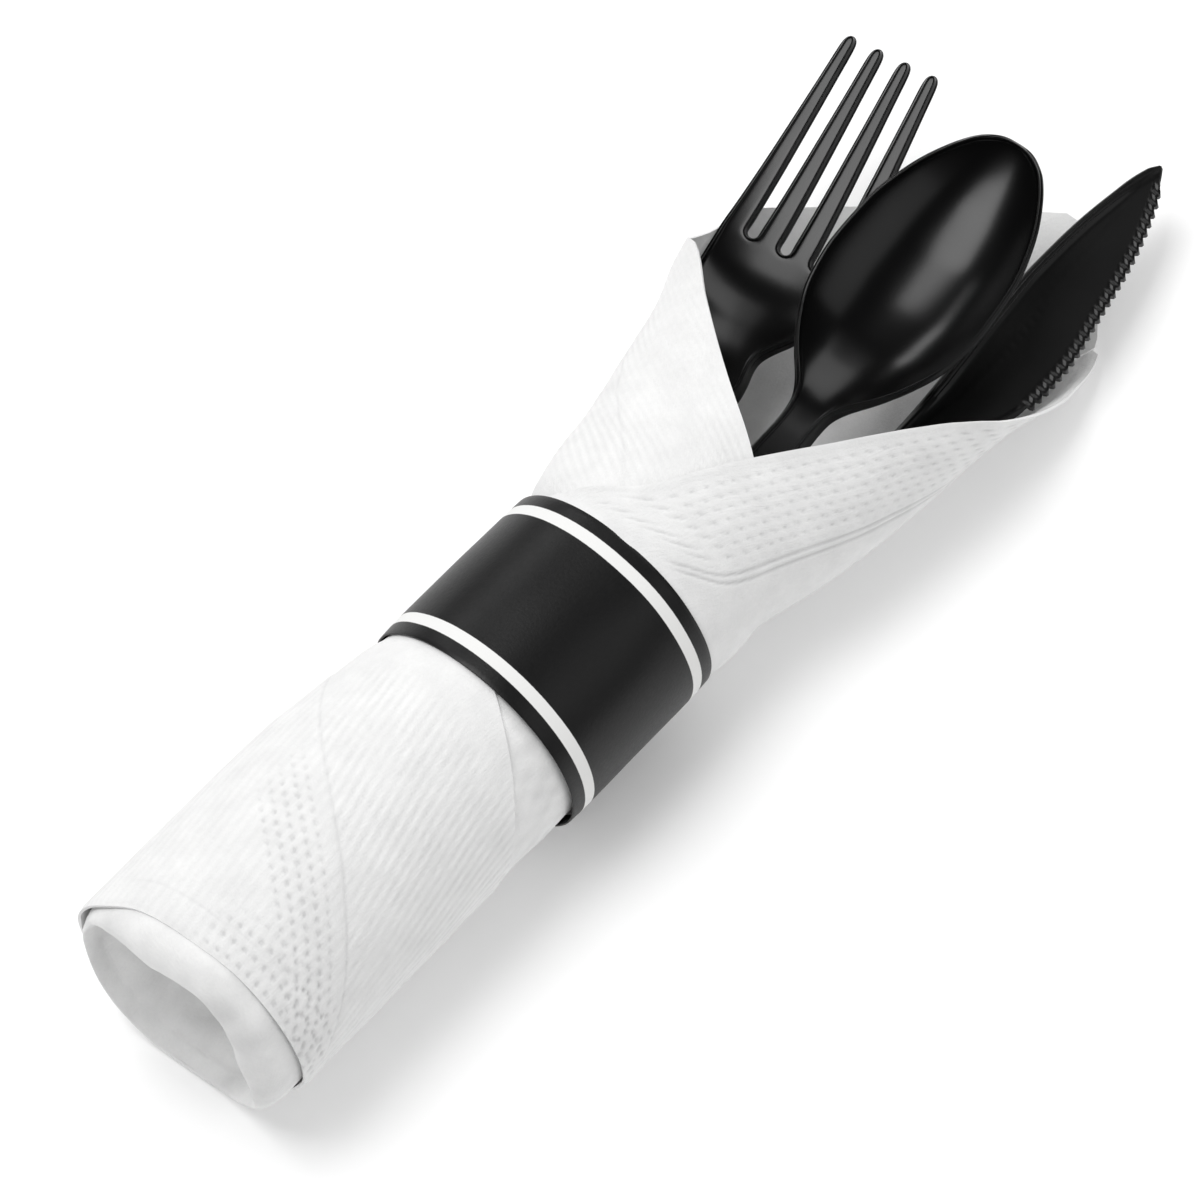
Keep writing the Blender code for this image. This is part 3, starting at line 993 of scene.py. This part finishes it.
@dataclass
class Napkin:
    """The napkin: one embossed sheet, folded to a quarter and wound in a roll that opens at its mouth."""

    side: float = 216.0
    ply: float = 0.5
    turn_growth: float = 1.1
    dot_pitch: float = 2.1
    # x, the section's middle in Y, half width, height of its middle, and its lowest height
    mouth: Stations = (
        (16.0, 0.0, 22.9, 23.2, 1.2), (19.6, 0.0, 23.2, 23.2, 1.0), (21.4, 0.3, 23.6, 23.0, 0.3),
        (25.0, 0.8, 24.6, 23.0, 0.0), (35.0, 1.5, 25.6, 23.0, 0.0), (48.0, 1.6, 28.4, 23.0, 0.0),
        (60.0, 1.9, 30.7, 23.0, 0.0), (70.0, 2.6, 32.4, 23.0, 0.0), (80.0, 4.0, 34.8, 23.0, 0.0),
        (88.0, 4.8, 36.1, 22.8, 0.0), (94.0, 5.0, 36.8, 22.0, 0.0), (104.0, 4.4, 37.4, 19.5, 0.0),
        (114.0, 2.6, 38.0, 16.5, 0.3), (126.0, -0.6, 38.0, 13.5, 0.9), (139.0, -4.0, 38.0, 11.5, 1.8),
        (150.5, -7.0, 38.0, 10.5, 2.8),
    )
    # x, how far round the sheet reaches from the underside in half turns: right edge and left edge
    edges: Stations = (
        (16.0, -1.30, 1.60), (29.0, -1.010, 1.50), (38.7, -0.936, 1.30), (48.0, -0.880, 1.13),
        (58.5, -0.813, 0.950), (70.0, -0.740, 0.802), (81.7, -0.660, 0.668), (85.0, -0.632, 0.57),
        (88.0, -0.605, 0.50), (94.0, -0.545, 0.44), (104.0, -0.46, 0.41), (114.0, -0.39, 0.33),
        (126.0, -0.29, 0.24), (139.0, -0.15, 0.13), (150.5, -0.02, 0.02),
    )
    # x, the lower roll's middle in Y, half width, height of its middle, and its lowest height
    foot: Stations = (
        (-97.0, 2.0, 24.9, 24.0, 0.0), (-60.0, 2.0, 24.9, 24.0, 0.0), (-46.0, 1.8, 24.6, 24.0, 0.0),
        (-33.0, 1.1, 24.0, 23.7, 0.0), (-22.0, 0.4, 23.5, 23.4, 0.2), (-19.6, 0.1, 23.3, 23.3, 0.9),
        (-15.0, 0.0, 23.0, 23.2, 1.2),
    )
    # Distance round the lower roll from its top, x: the outermost turn's two edges
    outer_rim: Stations = (
        (-72.0, -89.0), (-40.0, -89.2), (-13.0, -89.4), (-2.0, -90.4), (10.0, -91.5), (21.0, -93.8),
        (34.0, -94.2), (71.0, -92.0),
    )
    outer_edge: Stations = (
        (-72.0, -50.0), (-56.0, -43.0), (-41.7, -37.0), (-28.3, -31.2), (-20.0, -26.7), (-12.0, -22.4),
        (-4.0, -18.0), (2.0, -15.6), (71.0, -15.6),
    )
    # How far round the foot's hollow from its underside in half turns, and its radius there
    hollow: Stations = (
        (-1.0, 13.8), (-0.86, 15.2), (-0.72, 13.6), (-0.56, 13.6), (-0.43, 17.6), (-0.25, 21.2),
        (0.0, 22.2), (0.26, 22.3), (0.5, 21.6), (0.64, 20.4), (0.79, 18.2), (0.93, 13.2), (1.0, 13.8),
    )
    # The hem's section: x, and how far it lies from the core's outside (0) to the hollow (1)
    hem: Stations = (
        (-70.0, 0.0), (-84.0, 0.0), (-90.5, 0.0), (-93.0, 0.06), (-94.6, 0.2), (-95.6, 0.42),
        (-95.9, 0.64), (-95.2, 0.85), (-93.8, 0.97), (-91.0, 1.0), (-87.0, 1.0), (-83.0, 1.0),
        (-79.0, 1.0), (-75.0, 1.0),
    )
    # How far the inner folds close in past the hem, and how deep they are
    gathered: float = 0.62
    fold_count: int = 5
    core_radius: float = 23.7

    # -- forms

    def mouth_skin(self, x: Array, share: Array, sink: float) -> Array:
        """Points of the flaring upper half of the roll.

        Args:
            x: Rows by columns.
            share: How far round each point lies from the underside, in half turns, + to the left.
            sink: How far inside the outermost layer this one lies.

        Returns:
            Rows by columns by three.
        """
        middle, half, height, low = eased(self.mouth, x)
        turn = np.pi * share
        grown = -self.turn_growth * share / 2.0 - sink
        soft = 0.55 * cloud(x / 17.0 + 3.0, share * 5.0 + 11.0, 21)
        soft = soft + 0.25 * cloud(x / 7.0, share * 9.0 + 5.0, 22)
        soft = soft * step(20.0, 34.0, x) * np.clip(np.abs(share) * 3.0, 0.0, 1.0)
        grown = grown + soft
        y = middle + (half + grown) * np.sin(turn)
        z = height - (height - low + grown) * np.cos(turn)
        floor = low + sink
        z = floor + np.logaddexp(0.0, (z - floor) * 3.0) / 3.0
        return np.stack([x, y, z], axis=-1)

    def foot_skin(self, x: Array, arc: Array, out: float) -> Array:
        """Points of the straight lower half of the roll.

        Args:
            x: Rows by columns.
            arc: Distance round the roll from its top, + to the left, in millimetres.
            out: How far outside the support this layer lies.

        Returns:
            Rows by columns by three.
        """
        middle, half, height, low = eased(self.foot, x)
        turn = np.pi - arc / 24.9
        soft = 0.30 * cloud(x / 21.0 + 40.0, arc / 19.0 + 30.0, 31)
        soft = soft + 0.12 * cloud(x / 8.0 + 2.0, arc / 9.0 + 30.0, 32)
        grown = out + soft * step(-18.0, -26.0, x)
        y = middle + (half + grown) * np.sin(turn)
        z = height - (height - low + grown) * np.cos(turn)
        z = 0.02 + np.logaddexp(0.0, (z - 0.3) * 3.0) / 3.0
        return np.stack([x, y, z], axis=-1)

    def pits(self, along: Array, across: Array, pitch: float, rows: float, radius: float) -> Array:
        """A staggered field of round pits, 1 in the middle of each."""
        number = np.floor(across / rows)
        u = np.mod(along / pitch + 0.5 * np.mod(number, 2.0), 1.0) - 0.5
        v = np.mod(across / rows, 1.0) - 0.5
        return bell(np.hypot(u * pitch, v * rows), radius)

    def ribs(self, along: Array, across: Array, pitch: float) -> Array:
        """Ribs with a row of stitches in each valley, from -1 to 1."""
        wave = np.cos(2.0 * np.pi * across / pitch)
        stitch = np.cos(2.0 * np.pi * along / 1.15)
        return wave + 0.35 * stitch * (1.0 - wave) * 0.5

    # -- layers

    def spread(self, low: Array, high: Array, marks: Sequence[tuple[float, int]]) -> Array:
        """Columns between two edges, closer together in some stretches.

        Args:
            low: Each row's first edge.
            high: Each row's last edge.
            marks: Pairs of a share of the way and how many columns lead to it.

        Returns:
            Rows by columns.
        """
        shares = [0.0]
        for mark, count in marks:
            shares += list(np.linspace(shares[-1], mark, count + 1)[1:])
        return low[:, None] + (high - low)[:, None] * np.array(shares)[None, :]

    def flap_relief(self, x: Array, around: Array, inset: Array) -> Array:
        """Embossing of the right flap: rows of pits along its edge, then a double line, then plain."""
        field_in = (1.0 - step(17.0, 18.5, inset)) * step(1.0, 2.2, inset)
        pits = self.pits(x * 0.83 - around * 0.55, inset, self.dot_pitch, self.dot_pitch, 0.55)
        lines = bell(inset - 19.2, 0.55) + bell(inset - 20.9, 0.55)
        return -0.26 * pits * field_in - 0.28 * lines

    def right_flap(self) -> Layer:
        """The flap that comes round from the right and lies on top."""
        rows = np.linspace(16.5, 128.0, 172)
        right = eased(self.edges, rows)[0]
        start = np.maximum(-0.14, right + 0.012)
        share = self.spread(start, right, [(0.32, 12), (1.0, 96)])
        x = np.broadcast_to(rows[:, None], share.shape)
        half = eased(self.mouth, x)[1]
        around = share * np.pi * half
        inset = (share - right[:, None]) * np.pi * half * 0.83
        lip = 0.35 * bell(inset, 2.0)
        relief = self.flap_relief(x, around, inset) * step(21.0, 23.0, x)
        points = raise_surface(self.mouth_skin(x, share, 0.0), relief + lip * step(21.0, 24.0, x))
        return Layer(points, np.stack([x, around], axis=-1), relief, coarse=3)

    def left_flap(self) -> Layer:
        """The panel behind the cutlery and the flap that comes round from the left."""
        rows = np.linspace(16.5, 150.4, 184)
        right, left = eased(self.edges, rows)
        start = np.maximum(-0.26, right + 0.004)
        share = self.spread(start, left, [(0.45, 22), (1.0, 90)])[:, ::-1]
        x = np.broadcast_to(rows[:, None], share.shape)
        around = share * np.pi * eased(self.mouth, x)[1]
        inset = (left[:, None] - share) * np.pi * eased(self.mouth, x)[1] * 0.8
        along, across = turned(x, around, -55.0)
        front = step(0.42, 0.55, share) * step(1.0, 3.0, inset)
        fade = 0.5 + 0.5 * cloud(x / 12.0 + 1.0, around / 12.0 + 20.0, 44)
        crease = bell(turned(x - 34.7, around - 70.0, -32.0)[1], 0.5)
        relief = front * (0.055 * self.ribs(along, across, 2.0) * fade - 0.12 * crease)
        points = raise_surface(self.mouth_skin(x, share, 0.62), relief * step(21.0, 23.0, x))
        return Layer(points, np.stack([x, around], axis=-1), relief, coarse=3)

    def fold_side(self, x: Array, arc: Array) -> tuple[Array, Array]:
        """Distance along the fold line that crosses the lower roll, and to the left of it."""
        return turned(x + 60.0, arc + 8.0, 52.0)

    def foot_relief(self, x: Array, arc: Array, rim: Array) -> Array:
        """Embossing of the lower roll: ribs on one side of the fold line, pits on the other."""
        along_fold, side = self.fold_side(x, arc)
        right = 1.0 - step(-0.8, 0.8, side)
        along, across = turned(x, arc, 15.0)
        fade = 0.5 + 0.3 * cloud(x / 14.0 + 8.0, arc / 11.0 + 25.0, 52)
        fade = fade + 0.45 * cloud(x / 1.7 + 60.0, arc / 1.3 + 60.0, 53)
        fade = fade * right * (1.0 - step(-32.0, -24.0, x)) * (1.0 - step(8.0, 22.0, arc))
        left_along, left_across = turned(x, arc, 9.0)
        quiet = self.ribs(left_along, left_across, 2.0) * (1.0 - right)
        near = step(2.5, 4.0, side) * (1.0 - step(11.5, 14.0, side)) * (1.0 - step(4.0, 14.0, arc))
        border = self.pits(along_fold, side, 2.3, 2.25, 0.62) * near
        from_rim = x - rim
        hem = (1.0 - step(9.0, 11.0, from_rim)) * step(0.5, 1.5, from_rim) * (1.0 - step(-6.0, 2.0, arc))
        rows = self.pits(arc, from_rim, 2.3, 2.9, 0.62) * hem * (1.0 - right)
        hem_line = bell(from_rim - 6.2, 0.4) * step(-22.0, -12.0, arc) * (1.0 - step(14.0, 22.0, arc))
        relief = 0.10 * self.ribs(along, across, 1.9) * fade + 0.03 * quiet
        relief = relief - 0.42 * np.maximum(border, rows)
        return relief - 0.12 * bell(side, 0.45) - 0.08 * hem_line

    def outer_turn(self) -> Layer:
        """The outermost turn of the lower roll, whose slanting edge shows beside the band."""
        arcs = stretches((-72.0, -47.0, 20), (-46.0, 34.0, 150), (36.0, 71.0, 18))
        rim = eased(self.outer_rim, arcs)[0]
        edge = eased(self.outer_edge, arcs)[0]
        share = np.linspace(0.0, 1.0, 146)[:, None]
        x = rim[None, :] + (edge - rim)[None, :] * share
        arc = np.broadcast_to(arcs[None, :], x.shape)
        tuck = 1.0 - step(0.0, 1.6, x - rim[None, :])
        relief = self.foot_relief(x, arc, rim[None, :])
        lap = 0.22 * step(-0.5, 0.9, self.fold_side(x, arc)[1])
        points = raise_surface(self.foot_skin(x, arc, 0.0), relief + lap - 0.30 * tuck)
        return Layer(points, np.stack([x, arc], axis=-1), relief, coarse=4)

    def inner_turn(self) -> Layer:
        """The turn below the outermost one."""
        arcs = stretches((-76.0, -50.0, 18), (-49.0, 0.0, 64), (3.0, 76.0, 20))
        x, arc = np.meshgrid(np.linspace(-86.0, -15.6, 80), arcs, indexing="ij")
        soft = 0.10 * cloud(x / 3.5 + 30.0, arc / 2.4 + 40.0, 61)
        points = raise_surface(self.foot_skin(x, arc, -0.75), soft)
        return Layer(points, np.stack([x, arc], axis=-1), soft, coarse=4)

    def core(self) -> Layer:
        """The inner turns at the foot: a thick rolled hem round an angular hollow."""
        turns = np.linspace(0.0, 2.0, 151)[None, :]
        hollow = eased(self.hollow, np.where(turns > 1.0, turns - 2.0, turns))[0]
        steps = np.linspace(0.0, len(self.hem) - 1.0, 84)
        along, depth = eased([(number, *pair) for number, pair in enumerate(self.hem)], steps)
        along = along[:, None]
        depth = depth[:, None]
        x = along + 0.7 * np.cos(np.pi * turns * 3.0 + 1.0) * (1.0 - step(-93.0, -84.0, along))
        radius = self.core_radius + (hollow - self.core_radius) * depth
        turn = np.pi * turns
        wide, tall = np.cos(turn), np.sin(turn)
        wrinkle = 0.45 * cloud(x / 6.0 + 4.0 * wide + 30.0, 4.0 * tall + x / 9.0 + 30.0, 71)
        wrinkle = wrinkle + 0.16 * cloud(x / 2.6 + 9.0 * wide + 30.0, 9.0 * tall + 30.0, 72)
        inwards = np.clip((np.linspace(0.0, 1.0, 84)[:, None] - 0.66) / 0.34, 0.0, 1.0)
        pleat = np.abs(np.mod(turns * self.fold_count / 2.0 + 1.3 * inwards, 1.0) - 0.5) * 2.0
        closing = inwards * (self.gathered + 0.34 * (pleat - 0.5))
        radius = (radius + wrinkle * step(0.05, 0.4, depth)) * (1.0 - closing)
        z = 23.9 - radius * np.cos(turn)
        z = 0.35 + np.logaddexp(0.0, (z - 0.6) * 3.0) / 3.0
        points = np.stack([x, 2.0 + radius * np.sin(turn), z], axis=-1)
        uv = np.stack([np.broadcast_to(steps[:, None], x.shape) * 3.0, turn * radius], axis=-1)
        # The relief given here only colours the core: painted shade in the hollows of its wrinkles and
        # painted light on their crests.
        return Layer(points, uv, wrinkle * 0.3, coarse=3)

    def build(self, material: bpy.types.Material) -> None:
        """Model every layer of the sheet as one piece and put it in the CAD node's place."""
        layers = [self.outer_turn(), self.inner_turn(), self.core(), self.left_flap(), self.right_flap()]
        columns, faces = [], []
        for layer in layers:
            *made, more = layer.closed(self.ply, sum(len(part[0]) for part in columns))
            columns.append(made)
            faces += more
        points, uv, relief = (np.concatenate(column) for column in zip(*columns))
        thing = mesh_object("napkin_sheet", points, faces, uv, relief)
        smooth(thing, 75.0)
        dress(thing, material)
        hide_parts("napkin")


# ---- studio


@dataclass(frozen=True)
class Lamp:
    """A soft lamp: where it hangs, its two sides in metres and its power in watts."""

    name: str
    place: tuple[float, float, float]
    size: tuple[float, float]
    power: float


@dataclass
class Studio:
    """A pale floor, soft lamps and the camera."""

    elevation: float = 60.8
    azimuth: float = -48.97
    distance: float = 0.9
    lens: float = 148.05
    aim_right: float = 0.01025
    aim_up: float = 0.01107
    floor_shade: float = 0.92
    floor_glow: float = 0.10
    sky: float = 0.46
    lamps: tuple[Lamp, ...] = (
        Lamp("key_lamp", (-0.25, 0.5, 1.45), (0.9, 0.8), 13.5),
        Lamp("streak_lamp", (0.5, 1.05, 0.72), (0.5, 0.3), 1.9),
        Lamp("fill_lamp", (0.3, -1.2, 1.1), (1.4, 1.0), 4.0),
        Lamp("mouth_lamp", (1.25, 0.15, 0.8), (0.9, 0.7), 4.0),
    )

    def axes(self) -> tuple[Vector, Vector, Vector]:
        """The camera's right, up and back."""
        e, a = math.radians(self.elevation), math.radians(self.azimuth)
        back = Vector((math.sin(a) * math.cos(e), -math.cos(a) * math.cos(e), math.sin(e)))
        right = Vector((math.cos(a), math.sin(a), 0.0))
        return right, back.cross(right), back

    def set_camera(self) -> None:
        """Place the camera round the middle of the band."""
        right, up, back = self.axes()
        middle = (BAND_LOW + BAND_HIGH) / 2.0
        data = bpy.data.cameras.new("camera")
        data.lens = self.lens
        data.sensor_width = 36.0
        data.clip_end = 20.0
        camera = bpy.data.objects.new("camera", data)
        camera.matrix_world = Matrix.Translation(
            middle + back * self.distance + right * self.aim_right + up * self.aim_up
        ) @ Matrix((right, up, back)).transposed().to_4x4()
        bpy.context.scene.collection.objects.link(camera)
        bpy.context.scene.camera = camera

    def hang(self, lamp: Lamp) -> None:
        """Hang a lamp that faces the object."""
        data = bpy.data.lights.new(lamp.name, "AREA")
        data.shape = "RECTANGLE"
        data.size, data.size_y = lamp.size
        data.energy = lamp.power
        thing = bpy.data.objects.new(lamp.name, data)
        place = Vector(lamp.place)
        thing.location = place
        thing.rotation_euler = place.normalized().to_track_quat("Z", "Y").to_euler()
        bpy.context.scene.collection.objects.link(thing)

    def floor(self) -> None:
        """Lay the floor."""
        bpy.ops.object.select_all(action="DESELECT")
        bpy.ops.mesh.primitive_plane_add(size=8.0, location=(0.0, 0.0, CAD_LOW.z - 0.0001))
        floor = bpy.context.object
        floor.name = "floor"
        g = Graph("pale_floor")
        shade = (self.floor_shade,) * 3
        mottle = g.noise(g.place(), 3.0, 2.0)
        floor.data.materials.append(g.finish({
            "Base Color": g.mixed(mottle, shade, tuple(0.995 * s for s in shade)),
            "Roughness": 0.9,
            "Specular IOR Level": 0.1,
            "Emission Color": (1.0, 1.0, 1.0, 1.0),
            "Emission Strength": self.floor_glow,
        }))

    def light(self) -> None:
        """Hang the lamps and set the sky."""
        for lamp in self.lamps:
            self.hang(lamp)
        world = bpy.data.worlds.new("studio")
        world.use_nodes = True
        sky = world.node_tree.nodes["Background"]
        sky.inputs["Color"].default_value = (1.0, 1.0, 1.0, 1.0)
        sky.inputs["Strength"].default_value = self.sky
        world.cycles_visibility.glossy = False
        bpy.context.scene.world = world
        bpy.context.scene.view_settings.view_transform = "Standard"

    def build(self) -> None:
        """Set up the studio."""
        self.set_camera()
        self.floor()
        self.light()


def main() -> None:
    """Build every piece in order."""
    logging.basicConfig(level=logging.INFO)
    Studio().build()
    plastic = MouldedPlastic()
    Spoon().build(plastic.material("spoon_black"))
    Fork().build(plastic.material("fork_black"))
    Knife().build(MouldedPlastic(gloss=0.33).material("knife_black"))
    Napkin().build(SoftTissue().material("napkin_tissue"))
    PaperBand().build(PrintedPaper(middle=float(ROLL_ORIGIN[0])).material("band_paper"))


if __name__ == "__main__":
    main()
